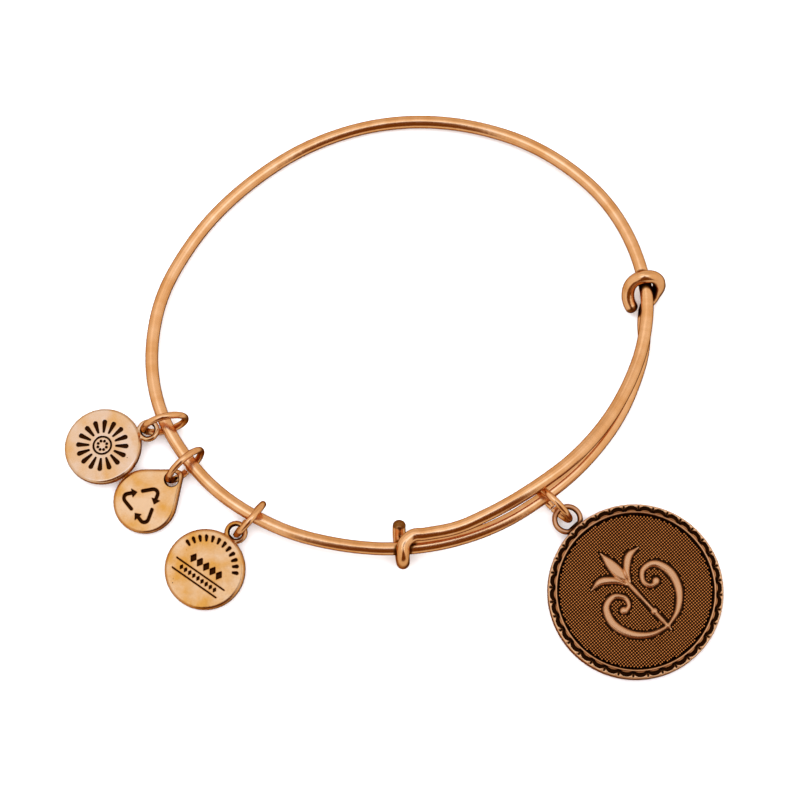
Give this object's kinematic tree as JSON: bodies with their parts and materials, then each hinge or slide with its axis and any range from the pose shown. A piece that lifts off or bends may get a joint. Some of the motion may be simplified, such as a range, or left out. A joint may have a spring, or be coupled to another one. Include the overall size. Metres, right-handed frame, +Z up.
{
  "type": "charm bangle",
  "caption": "Expandable bangle of one sprung wire with hooked ends, with a large cast medallion and engraved charms on jump rings, lying flat.",
  "frame": {"origin": "middle of the wire loop, on the surface that the bangle lies on", "axes": "+X to the right across the loop, along its hooked upper crossing, +Y towards the side away from the charms, +Z up from the surface, along the wrist"},
  "size_m": [0.0805, 0.0711, 0.0069],
  "materials": {
    "rose_metal": "satin rose-gold plating, warm orange",
    "antique_copper": "dark antiqued copper, rubbed bright on the raised work"
  },
  "bodies": {
    "root": {"bangle_wire": "rose_metal", "medallion": "antique_copper", "medallion_ring": "rose_metal", "rosette_charm": "rose_metal", "rosette_ring": "rose_metal", "arrows_charm": "rose_metal", "arrows_ring": "rose_metal", "banner_charm": "rose_metal", "banner_ring": "rose_metal"}
  },
  "joints": []
}
